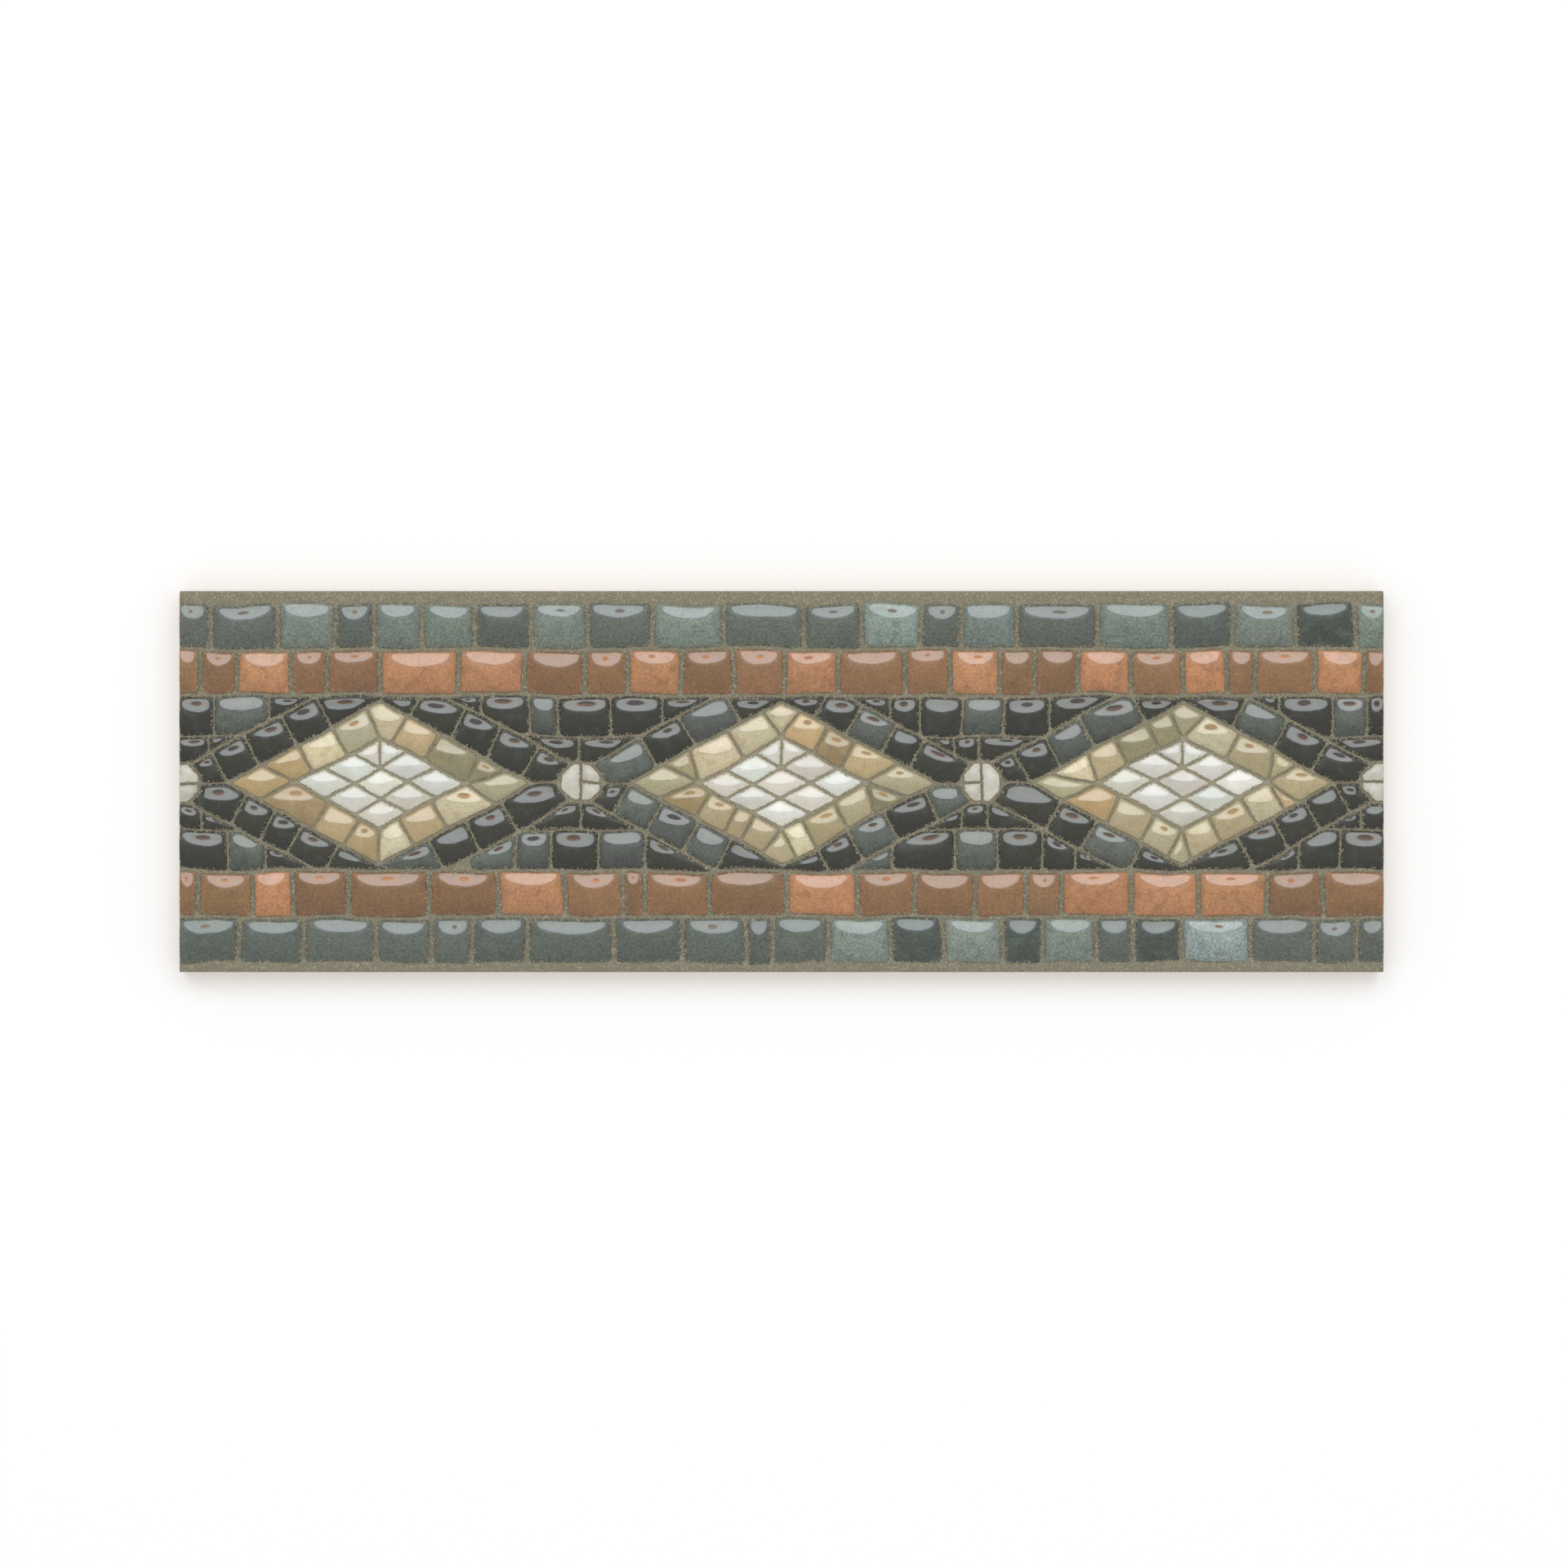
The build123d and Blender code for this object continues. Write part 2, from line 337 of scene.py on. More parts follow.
row = np.digitize(middle[:, 1], row_edges)
lozenge = np.abs(middle[:, :1] - lozenge_middles).argmin(axis=1)
gap = np.abs(middle[:, :1] - gap_middles).argmin(axis=1)
level = np.full(tessera_count, field_middle)
from_lozenge = middle - np.stack([lozenge_middles[lozenge], level], axis=1)
from_gap = middle - np.stack([gap_middles[gap], level], axis=1)
gauge = lozenge_gauge(middle)
in_field = row == 2
stone = in_field & (np.linalg.norm(from_gap, axis=1) < stone_reach)
core = in_field & (gauge < core_gauge)
ring = in_field & (gauge >= core_gauge) & (gauge < 1)
course = in_field & (gauge >= 1) & (gauge < course_gauge) & ~stone
filler = in_field & (gauge >= course_gauge) & ~stone
filler_row = np.digitize(middle[:, 1] - field_middle, [-filler_line, 0, filler_line])
scaled = from_lozenge / ring_half
clockwise = np.arctan2(scaled[:, 1], -scaled[:, 0]) % (2 * np.pi)
from_tip = (clockwise + tip_turn) % (2 * np.pi)
downwards = -np.round(middle[:, 1] / core_line) * tile_length + middle[:, 0]
zones = {"core": core, "ring": ring, "course": course, "filler": filler, "stone": stone}
print({name: int(chosen.sum()) for name, chosen in zones.items()})

# %% [markdown]
# ## Rounder stones in the field
# The small stones of the field are nipped more than those of the rows, so their outlines are averaged
# a few times more. Stones that a sawn end cuts keep their sharp corners.

# %% Rounder stones in the field
field_blunting = 3
rounder = in_field & ~(sawn_side & real_side).any(axis=1)
for turn in range(field_blunting):
    outline[rounder] = blunt(outline[rounder])
print(rounder.sum(), "outlines rounded further")

# %% [markdown]
# ## The glazes
# A tile painter keeps a small tray of glazes and chooses one for each tessera. Here each
# glaze has a letter, and a line of letters says how a row, a ring or a course is painted.

# %% The tray of glazes
tray = {
    "D": "#61665f", "L": "#7d877d", "M": "#8d9c91", "I": "#4f544f", "N": "#98a4a0",
    "O": "#b88662", "B": "#896b50",
    "K": "#40403a", "S": "#5d625c",
    "A": "#bba379", "P": "#bfa883", "U": "#988564", "T": "#aa9c7c", "C": "#cfc4a4",
    "Y": "#b5a989", "V": "#8b856a", "E": "#aca68b", "R": "#c6a578",
    "W": "#d8d9cf", "G": "#d0ccbd", "H": "#c0bcae",
}
slate_letters = {4: "DDLDLLDLDLDDMDLDLDLIL", 0: "DDDDDDDDDDDLILILDINDDD"}
terracotta_letters = {3: "BBOBBOOBBOBBOBBOBBOBOBBOB", 1: "BBOBBBOBBBBOBBBBOOOBB"}
ring_letters = ["AACECPVVECPCAPU", "ETCCCAUPEVYTCYTTTU", "ECTVVECTTTPCTYEEYR"]
course_letters = ["KKKKKKKKKKKKKSKKKKK", "SKSKKKSKKSKSKKKSSSK", "KKSSKKSKKKKKKKKSKK"]
core_letters = ["GWWWWGWWGG", "WGWGGGWWGW", "GWWWGGWWWG"]
filler_letters = {
    (0, 3): "KSK", (0, 2): "KK", (0, 1): "KK", (0, 0): "KSK",
    (1, 3): "KKSKKK", (1, 2): "KK", (1, 1): "KK", (1, 0): "SSKSK",
    (2, 3): "KKKSKK", (2, 2): "KKK", (2, 1): "KKK", (2, 0): "SKSKKK",
    (3, 3): "KKSK", (3, 2): "K", (3, 1): "KK", (3, 0): "KKK",
}
glaze_letter = np.full(tessera_count, "K")


def paint(chosen, order, letters):
    """Gives the chosen tesserae their letters, in the order asked for."""
    pieces = np.flatnonzero(chosen)
    pieces = pieces[np.argsort(order[pieces])]
    if len(pieces) != len(letters):
        print("letters", letters, "for", len(pieces), "tesserae")
    glaze_letter[pieces[:len(letters)]] = list(letters)[:len(pieces)]


for number, letters in {**slate_letters, **terracotta_letters}.items():
    paint(row == number, middle[:, 0], letters)
for number in range(len(lozenge_middles)):
    here = lozenge == number
    paint(ring & here, from_tip, ring_letters[number])
    paint(course & here, clockwise, course_letters[number])
    paint(core & here, downwards, core_letters[number])
for (number, line), letters in filler_letters.items():
    paint(filler & (gap == number) & (filler_row == line), middle[:, 0], letters)
glaze_letter[stone] = "H"
print({letter: int(np.sum(glaze_letter == letter)) for letter in tray})

# %% [markdown]
# ## From tray to linear colour
# The codes in the tray are colours as a screen shows them, but light is reckoned in linear numbers.
# A glossy glaze also mirrors a little of the white room, so that much is taken off first. Then each
# tessera strays a little in shade and in hue, as glazes do in the kiln.

# %% From tray to linear colour
mirrored_room = 0.03
darkest = 0.01
shade_spread, hue_spread = 0.16, 0.03
chance = np.random.default_rng(11)
hue_chance = np.random.default_rng(12)


def linear(code):
    """A six-digit colour as linear red, green and blue. A share c of full strength becomes
    (c + 0.055) / 1.055 to the power 2.4, or c / 12.92 where it is very dark."""
    value = np.array([int(code[i:i + 2], 16) for i in (1, 3, 5)]) / 255
    return np.where(value <= 0.04045, value / 12.92, ((value + 0.055) / 1.055) ** 2.4)


glaze_colour = np.array([linear(tray[letter]) for letter in glaze_letter])
glaze_colour = np.maximum(glaze_colour - mirrored_room, darkest)
glaze_colour *= 1 + shade_spread * chance.uniform(-1, 1, (tessera_count, 1))
glaze_colour *= 1 + hue_spread * hue_chance.uniform(-1, 1, (tessera_count, 3))
print("palest glaze", np.round(glaze_colour.max(axis=0), 3))

# %% [markdown]
# ## Glazed cushions
# Molten glaze pulls back from the edges of each tessera and stands in a low dome. The surface is
# a function of two parameters: how far round the outline, and how far in from it. Its height
# is a product of ramps, one for each side, so it falls to the joint along every side alike.

# %% Cushion points
ring_share = np.array([1, 1, 0.985, 0.955, 0.91, 0.84, 0.75, 0.64, 0.51, 0.37, 0.20])
ring_lift = np.array([0, 0, 0.55, 0.85, 1, 1, 1, 1, 1, 1, 1])
sink = 0.3 * mm
edge_lift = 0.35 * mm
widest_ramp = 5 * mm
dome_share = 0.22
dome_limits = (0.25 * mm, 1.03 * mm)
dome_spread = 0.06


def cushion_plan(outline, middle):
    """Rings of the outline drawn in towards the middle by their shares, then the middle twice,
    for the two poles."""
    rings = middle[:, None, None] + ring_share[:, None, None] * (outline - middle[:, None])[:, None]
    poles = np.repeat(middle[:, None], 2, axis=1)
    return np.concatenate([rings.reshape(len(outline), -1, 2), poles], axis=1)


def side_distance(points):
    """Distance of every point of a tessera from each of its sides, as from a line with two ends."""
    along = (side_end - side_start)[:, None]
    offset = points[:, :, None] - side_start[:, None]
    share = np.sum(offset * along, axis=-1) / np.maximum(np.sum(along ** 2, axis=-1), tiny)
    nearest = np.clip(share, 0, 1)[..., None] * along
    away = np.linalg.norm(offset - nearest, axis=-1)
    return np.where(real_side[:, None], away, np.inf)


def cushion_height(away, from_middle):
    """Dome: the product over the sides of 1 - (1 - q)(1 - q), with q the distance over the ramp's width."""
    width = np.minimum(from_middle, widest_ramp)
    share = np.clip(away / width[:, None], 0, 1)
    share = np.where(sawn_side[:, None] | ~real_side[:, None], 1, share)
    return np.prod(1 - (1 - share) ** 2, axis=-1)


plan = cushion_plan(outline, middle)
away = side_distance(plan)
from_middle = away[:, -1]
dome = np.clip(dome_share * from_middle.min(axis=1), *dome_limits)
dome *= 1 + dome_spread * chance.uniform(-1, 1, tessera_count)
lift = np.concatenate([np.repeat(ring_lift, outline_points), [1, 0]]) * edge_lift
height = bed_level + lift + dome[:, None] * cushion_height(away, from_middle)
height[:, :outline_points] = bed_level - sink
height[:, outline_points:2 * outline_points] = bed_level
height[:, -1] = bed_level - sink
print("domes", np.round(np.percentile(dome, [0, 50, 100]) / mm, 2), "mm")
print("highest point", np.round(height.max() / mm, 2), "mm")

# %% [markdown]
# ## Marks of the hand
# Nothing on a hand-laid mosaic is ruled. A field of slow plane waves shifts whole stretches of the
# pattern by a few tenths of a millimetre, and a field of quick ones frets the edges.
# Both fade out along X at the sawn ends, which stay flat, and the sunken skirts stop just short of them.

# %% Marks of the hand
def wave_field(points, amount, shortest, longest, count, seed):
    """Shift of each point: the sum of plane waves with seeded lengths, directions and phases."""
    pick = np.random.default_rng(seed)
    turn = pick.uniform(0, 2 * np.pi, count)
    number = 2 * np.pi / pick.uniform(shortest, longest, count)
    phase = pick.uniform(0, 2 * np.pi, (count, 2))
    angle = points @ (np.stack([np.cos(turn), np.sin(turn)]) * number)
    return amount * np.sqrt(2 / count) * np.sin(angle[..., None] + phase).sum(axis=-2)


end_fade = 4 * mm
end_clearance = 0.08 * mm
shift = wave_field(plan, amount=0.22 * mm, shortest=14 * mm, longest=40 * mm, count=14, seed=3)
shift += wave_field(plan, amount=0.04 * mm, shortest=3 * mm, longest=7 * mm, count=18, seed=5)
shift[..., 0] *= np.clip((tile_half_length - np.abs(plan[..., 0])) / end_fade, 0, 1)
placed = np.concatenate([plan + shift, height[..., None]], axis=-1)
skirt_reach = tile_half_length - end_clearance
placed[:, :outline_points, 0] = np.clip(placed[:, :outline_points, 0], -skirt_reach, skirt_reach)
print("largest shift", np.round(np.abs(shift).max() / mm, 2), "mm")

# %% [markdown]
# ## Painted highlights
# Every tessera gets a painted highlight, a pale lens under its upper edge, and many lenses hold a
# small dark slit. They are painted, so they stay put when the camera moves. A lens is an oval in axes
# of the tessera's own: it lies across the upper part, and it follows the slant of the upper side a little.

# %% Where the lenses lie
band_share = 0.07
least_upward = 0.3
# upper and side margin in mm, share of the width and of the height, slant kept, overlap
lens_sizes = {
    "slate": (0.55, 0.65, 0.86, 0.48, 0.5, 0.42),
    "terracotta": (0.40, 0.60, 0.84, 0.48, 0.5, 0.42),
    "filler": (0.50, 0.80, 0.92, 0.40, 0.45, 0.2),
    "course": (0.75, 0.95, 1.10, 0.44, 0.65, 0.2),
    "ring": (0.65, 0.70, 1.40, 0.44, 0.5, 0.2),
    "core": (0.60, 0.60, 1.30, 0.48, 0.3, 0.2),
    "stone": (0.60, 0.60, 0.90, 0.50, 0.5, 0.2),
}
kind = np.select([*zones.values(), row % 2 == 1], [*zones, "terracotta"], "slate")
lens_table = np.array([lens_sizes[name] for name in kind]).T
upper_margin, side_margin = lens_table[:2] * mm
width_share, height_share, slant_kept, overlap = lens_table[2:]


def upper_sides():
    """Which sides face up, and their mean direction, weighed by length and steepness."""
    weight = real_side * side_length * np.clip(side_normal[..., 1] - least_upward, 0, 1)
    return weight > 0, unit(np.sum(weight[..., None] * side_normal, axis=1))


def vary(least, most):
    """One seeded number for each tessera."""
    return chance.uniform(least, most, tessera_count)


faces_up, facing = upper_sides()
across = unit(np.stack([facing[:, 1], -slant_kept * facing[:, 0]], axis=1))
upwards = np.stack([-across[:, 1], across[:, 0]], axis=1)
outline_u = np.sum(outline * across[:, None], axis=-1)
outline_v = np.sum(outline * upwards[:, None], axis=-1)
rise = np.ptp(outline_v, axis=1)
lens_height = height_share * rise * vary(0.88, 1.12)
lens_v = outline_v.max(axis=1) - upper_margin + (overlap - 0.5) * lens_height
band = np.abs(outline_v - lens_v[:, None]) < (band_share * rise)[:, None]
left = np.where(band, outline_u, np.inf).min(axis=1)
right = np.where(band, outline_u, -np.inf).max(axis=1)
half_width = width_share * (right - left) / 2 * vary(0.92, 1.05)
lens_u = (left + right) / 2 + (right - left) * vary(-0.03, 0.03)
print("lenses", np.round(np.percentile(2 * half_width, [5, 50, 95]) / mm, 1), "mm wide")

# %% [markdown]
# ## Lens axes
# The painted highlight keeps a margin from the sides of a tessera, so the oval is cut off along them.
# Every point gets its place across and along the oval, and its inset, which tells how far inside the
# margins it is. These three numbers are stored on the mesh, and the material draws the lens from them.

# %% Lens axes
faint_inset = 1.0
least_away = 0.01 * mm
corner_power = 3.0
oval_powers = (2.0, 1.8)


def inset(away):
    """With q a side's margin over the distance from it: 1 over the cube root of the sum of the cubes of q,
    which is 1 along the margin and rounds its corners. Sawn sides keep no margin."""
    kept = np.where(faces_up, upper_margin[:, None], side_margin[:, None])
    share = kept[:, None] / np.maximum(away, least_away)
    total = np.sum(np.where(sawn_side[:, None], 0, share) ** corner_power, axis=-1)
    return total ** (-1 / corner_power)


lens = np.stack([
    (np.sum(plan * across[:, None], axis=-1) - lens_u[:, None]) / half_width[:, None],
    (np.sum(plan * upwards[:, None], axis=-1) - lens_v[:, None]) / (lens_height / 2)[:, None],
    inset(away),
], axis=-1)
# stones keep an inset of at most 1, so their painted highlight stays faint
lens[stone, :, 2] = np.minimum(lens[stone, :, 2], faint_inset)
print("insets up to", round(float(lens[..., 2].max()), 1))

# %% [markdown]
# ## Slit axes
# A slit is one short dark mark in its lens, a painted reflection. The part of the lens that shows is
# weighed
# first: its middle places the slit, and its spread gives the length and height. A lens too narrow has none.

# %% Slit axes
slit_chance = {"DLMIN": 0.5, "OB": 0.55, "K": 0.8, "S": 0.45, "APUTCYVER": 0.35, "WGH": 0.0}
slit_raise = np.where(in_field, 0.25, 0)
slit_length = np.where(in_field, 0.46, 0.22)
slit_height = np.where(in_field, 0.46, 0.34)
smallest_reach = 1.3 * mm
least_weight = 1e-9
no_slit = 9


def seen_part(lens):
    """Share of the plan around each point, for points inside the lens: the size of its ring
    times the step to the next ring."""
    area = np.repeat(ring_share * -np.gradient(ring_share), outline_points)
    area = np.concatenate([area, [0, 0]])
    in_oval = np.sum(np.abs(lens[..., :2]) ** oval_powers, axis=-1) < 1
    weight = area * (in_oval & (lens[..., 2] > 1)) + least_weight
    return weight / weight.sum(axis=1, keepdims=True)


def reach(values, weight):
    """Half the length of an even bar with the same spread: the square root of three times the variance."""
    return np.sqrt(3 * np.sum(weight * values ** 2, axis=1))


part = seen_part(lens)
slit_offset = plan - np.sum(part[..., None] * plan, axis=1)[:, None]
slit_along = np.stack([facing[:, 1], -facing[:, 0]], axis=1)
slit_u = np.sum(slit_offset * slit_along[:, None], axis=-1)
slit_v = np.sum(slit_offset * facing[:, None], axis=-1)
wide, tall = reach(slit_u, part), reach(slit_v, part)
half_length = wide * slit_length * vary(0.7, 1.2)
half_height = tall * slit_height * vary(0.85, 1.15)
aside = wide * vary(-0.15, 0.15)
slit = np.stack([
    (slit_u - aside[:, None]) / half_length[:, None],
    (slit_v - (slit_raise * tall)[:, None]) / half_height[:, None],
    np.repeat(vary(0, 1)[:, None], plan.shape[1], axis=1),
], axis=-1)
same_chance = [np.isin(glaze_letter, list(letters)) for letters in slit_chance]
likelihood = np.select(same_chance, list(slit_chance.values()))
has_slit = (vary(0, 1) < likelihood) & (wide > smallest_reach)
slit[~has_slit, :, 1] = no_slit
print(has_slit.sum(), "slits", np.round(np.percentile(2 * half_length, [5, 50, 95]) / mm, 1), "mm long")

# %% [markdown]
# ## Five families of tesserae
# One mesh for each family keeps the pieces few and lets a family share a glaze recipe.
# Every cushion has the same faces: bands between its rings, and a fan at each of its two poles.
# The glazes and the axes of the painted highlights travel with the points, as attributes that the materials
# read.

# %% Five families of tesserae
rim_width = 2.0 * mm
family_letters = {"slate": "DLMIN", "terracotta": "OB", "black": "KS", "amber": "APUTCYVER", "white": "WGH"}
rim = np.clip(1 - away.min(axis=-1) / rim_width, 0, 1)


def new_mesh(name, points, faces):
    """A mesh from its points and from arrays of quads and triangles."""
    corner_list = np.concatenate([table.ravel() for table in faces])
    total = np.concatenate([np.full(len(table), table.shape[1]) for table in faces])
    mesh = bpy.data.meshes.new(name)
    mesh.vertices.add(len(points))
    mesh.vertices.foreach_set("co", points.astype(np.float32).ravel())
    mesh.loops.add(len(corner_list))
    mesh.loops.foreach_set("vertex_index", corner_list.astype(np.int32))
    mesh.polygons.add(len(total))
    mesh.polygons.foreach_set("loop_start", np.concatenate([[0], np.cumsum(total)[:-1]]).astype(np.int32))
    mesh.update(calc_edges=True)
    mesh.validate()
    return mesh


def closed_tube(rings, around):
    """Bands: two neighbours on a ring and the two on the next ring. Fans: two neighbours and a pole,
    the first pole for the last ring and the second pole for the first ring."""
    here = np.arange(around)
    after = np.roll(here, -1)
    band = np.stack([here, after, after + around, here + around], axis=1)
    bands = (np.arange(rings - 1)[:, None, None] * around + band).reshape(-1, 4)
    last = (rings - 1) * around
    pole = np.full(around, rings * around)
    last_fan = np.stack([here + last, after + last, pole], axis=1)
    first_fan = np.stack([after, here, pole + 1], axis=1)
    return bands, np.concatenate([last_fan, first_fan])


def store(mesh, name, kind, field, values):
    """Writes one value for each point of a mesh under a name."""
    attribute = mesh.attributes.new(name, kind, "POINT")
    attribute.data.foreach_set(field, values.astype(np.float32).ravel())


def family_of_tesserae(family):
    """Joins the cushions of one family into a mesh that carries its glazes and the axes of its painted
    highlights.
    """
    chosen = np.flatnonzero(np.isin(glaze_letter, list(family_letters[family])))
    per_piece = plan.shape[1]
    first = (np.arange(len(chosen)) * per_piece)[:, None, None]
    tables = closed_tube(len(ring_share), outline_points)
    faces = [(first + table).reshape(-1, table.shape[1]) for table in tables]
    mesh = new_mesh(family + "_tesserae", placed[chosen].reshape(-1, 3), faces)
    mesh.polygons.foreach_set("use_smooth", np.ones(len(mesh.polygons), bool))
    colour = np.concatenate([glaze_colour[chosen], np.ones((len(chosen), 1))], axis=1)
    store(mesh, "glaze", "FLOAT_COLOR", "color", np.repeat(colour, per_piece, axis=0))
    store(mesh, "rim", "FLOAT", "value", rim[chosen])
    store(mesh, "lens", "FLOAT_VECTOR", "vector", lens[chosen])
    store(mesh, "slit", "FLOAT_VECTOR", "vector", slit[chosen])
    return put(bpy.data.objects.new(mesh.name, mesh))


tesserae = {family: family_of_tesserae(family) for family in family_letters}
print({family: len(piece.data.polygons) for family, piece in tesserae.items()})

# %% [markdown]
# ## The tile body
# Under the tesserae lies the pressed body, with a sandy joint bed on its face, a small arris along
# the long edges and a grid of shallow pockets on the back that give the adhesive a key. The lines of
# the pockets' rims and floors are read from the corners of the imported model.

# %% Pockets of the back
on_long_side = np.abs(np.abs(corners[:, 1]) - tile_half_width) < near
arris = corners[on_long_side, 2].min()


def pocket_lines(axis, half):
    """Sorted rim and floor lines of the pockets along one axis, read from the corners on the back
    and on the pocket floors."""
    inside = np.abs(corners[:, axis]) < half - 2 * arris
    on_back = inside & (np.abs(corners[:, 2]) < near)
    on_floor = np.abs(corners[:, 2] - pocket_depth) < near
    rims = np.unique(np.round(corners[on_back, axis], line_digits))
    floors = np.unique(np.round(corners[on_floor, axis], line_digits))
    return np.sort(np.concatenate([rims, floors]))


def pocket_share(values, lines):
    """0 on the ribs and 1 on the floors: each pocket rises in a line from its rim to its floor,
    and falls again."""
    return np.interp(values, lines, np.tile([0, 1, 1, 0], len(lines) // 4))


lines_x = pocket_lines(0, tile_half_length)
lines_y = pocket_lines(1, tile_half_width)
print("arris", round(arris / mm, 2), "mm;", len(lines_x) // 4, "by", len(lines_y) // 4, "pockets")

# %% [markdown]
# ## Carrying the section along
# The section is repeated at stations along X. The face gets a sandy unevenness, and the back rises
# into a pocket wherever both X and Y lie inside one. Every point also gets a number that makes the sand
# darker or, below 0, lighter.

# %% Carry the section along the tile
face_step = 0.8 * mm
sand_relief = 0.035 * mm
bed_line_width = 0.9 * mm
row_darkening, field_darkening, ring_darkening, core_darkening = 0.7, 0.2, -0.6, -1.9


def body_section():
    """Y and Z once round the section: the face from the upper edge down, the lower side, the back,
    the upper side."""
    inner = tile_half_width - arris
    face = np.linspace(inner, -inner, round(2 * inner / face_step) + 1)
    back = np.concatenate([[-inner], lines_y, [inner]])
    y = np.concatenate([face, np.full(2, -tile_half_width), back, np.full(2, tile_half_width)])
    sides_down = [bed_level - arris, arris]
    z = np.concatenate([np.full(len(face), bed_level), sides_down, np.zeros(len(back)), sides_down[::-1]])
    return y, z


def sand_darkening(points):
    """How much darker the sand is made: 0 on the strips and along the bed lines, most inside the rows, a
    little in the field, and below 0, so lighter, inside the lozenges."""
    y = points[:, 1]
    gauge = lozenge_gauge(points)
    lines = np.concatenate([[foot[..., 1].min()], row_edges, [foot[..., 1].max()]])
    from_line = np.abs(y[:, None] - lines).min(axis=1)
    inside = (y > lines[0]) & (y < lines[-1])
    in_zones = np.select([gauge < core_gauge, gauge < 1], [core_darkening, ring_darkening], field_darkening)
    in_rows = np.where((y > row_edges[1]) & (y < row_edges[2]), in_zones, row_darkening)
    return inside * in_rows * np.clip(from_line / bed_line_width - 0.5, 0, 1)


def tile_body():
    """The section at every station along X, with sand on the face and pockets in the back,
    closed by a fan at each end."""
    y, z = body_section()
    stations = np.linspace(-tile_half_length, tile_half_length, round(tile_length / face_step) + 1)
    x = np.unique(np.round(np.concatenate([stations, lines_x]), line_digits))
    grid = np.stack(np.broadcast_arrays(x[:, None], y, z), axis=-1).copy()
    plane = grid[..., :2]
    uneven = wave_field(plane, sand_relief, shortest=1.6 * mm, longest=4 * mm, count=24, seed=8)[..., 0]
    pocket = np.minimum(pocket_share(grid[..., 0], lines_x), pocket_share(grid[..., 1], lines_y))
    grid[..., 2] += np.where(z == bed_level, uneven, 0) + np.where(z == 0, pocket_depth * pocket, 0)
    poles = np.array([[tile_half_length, 0, bed_level / 2], [-tile_half_length, 0, bed_level / 2]])
    points = np.concatenate([grid.reshape(-1, 3), poles])
    mesh = new_mesh("tile_body", points, closed_tube(len(x), len(y)))
    store(mesh, "sand_darkening", "FLOAT", "value", sand_darkening(points))
    return put(bpy.data.objects.new(mesh.name, mesh))


body = tile_body()
print("body", len(body.data.polygons), "faces")

# %% [markdown]
# ## More node helpers
# Materials are small networks. These helpers keep them readable: a blend of two colours, a soft
# step, the object's own coordinates, a cloudy noise, a colour for a socket, and an empty node group
# or material that is ready for its sockets.

# %% More node helpers
def mix(tree, factor, first, second, blend="MIX"):
    """Two colours blended by a factor."""
    sockets = {0: factor, 6: first, 7: second}
    return add(tree, "ShaderNodeMix", sockets, data_type="RGBA", blend_type=blend).outputs[2]


def window(tree, value, start, end):
    """A soft step: 0 at start, 1 at end, eased between."""
    sockets = {"Value": value, "From Min": start, "From Max": end}
    return add(tree, "ShaderNodeMapRange", sockets, interpolation_type="SMOOTHSTEP").outputs[0]


def own_place(tree):
    """The object's own coordinates, in metres."""
    return add(tree, "ShaderNodeTexCoord").outputs["Object"]


def noise(tree, scale, detail):
    """Cloudy noise on the object's own coordinates, in features per metre."""
    sockets = {"Vector": own_place(tree), "Scale": scale, "Detail": detail}
    return add(tree, "ShaderNodeTexNoise", sockets).outputs["Fac"]


def opaque(code):
    """A six-digit colour for a socket: linear red, green and blue, then 1."""
    return (*linear(code), 1)


def open_group(name, inputs, outputs):
    """A node group with named sockets; gives its tree, its input node and its output node."""
    tree = bpy.data.node_groups.new(name, "ShaderNodeTree")
    for socket, kind in inputs.items():
        tree.interface.new_socket(socket, in_out="INPUT", socket_type="NodeSocket" + kind)
    for socket, kind in outputs.items():
        tree.interface.new_socket(socket, in_out="OUTPUT", socket_type="NodeSocket" + kind)
    return tree, tree.nodes.new("NodeGroupInput").outputs, tree.nodes.new("NodeGroupOutput").inputs


def open_material(name):
    """A material with one Principled shader, ready for its sockets."""
    made = bpy.data.materials.new(name)
    made.use_nodes = True
    return made, made.node_tree, made.node_tree.nodes["Principled BSDF"].inputs


print("helpers ready")

# %% [markdown]
# ## Sand
# The joints are filled with a sandy mortar. Every cell of a fine cellular pattern is one grain, and
# the cell's own chance number makes it dark, plain or pale. A darkening number makes the sand darker, or
# lighter where it is below 0. The glaze uses this group too, because grains stick to the edges of the
# tesserae.

# %% Sand group
grains_per_metre = 2900
drift_noise = (420, 3)
drift_share = 0.35
dark_grains = (0.52, 0.34)
pale_grains = (0.88, 1.08)
darkening_share = 0.26


def sand_group():
    """A cell's chance number, shifted by a slow noise, picks a dark, plain or pale grain. The darkening
    number darkens all but the pale ones. The height is the same number, less the distance from the cell's
    middle."""
    tree, given, made = open_group(
        "sand_grain",
        {"Plain": "Color", "Dark": "Color", "Pale": "Color", "Darkening": "Float"},
        {"Color": "Color", "Height": "Float"},
    )
    cells = add(tree, "ShaderNodeTexVoronoi", {"Vector": own_place(tree), "Scale": grains_per_metre})
    draw = add(tree, "ShaderNodeSeparateColor", {0: cells.outputs["Color"]}).outputs["Red"]
    pick = math(tree, "MULTIPLY_ADD", noise(tree, *drift_noise), drift_share, draw)
    grains = mix(tree, window(tree, pick, *dark_grains), given["Plain"], given["Dark"])
    sand_tone = math(tree, "MULTIPLY_ADD", given["Darkening"], -darkening_share, 1.0)
    grains = mix(tree, 1.0, grains, sand_tone, "MULTIPLY")
    tree.links.new(mix(tree, window(tree, pick, *pale_grains), grains, given["Pale"]), made["Color"])
    tree.links.new(math(tree, "SUBTRACT", pick, cells.outputs["Distance"]), made["Height"])
    return tree


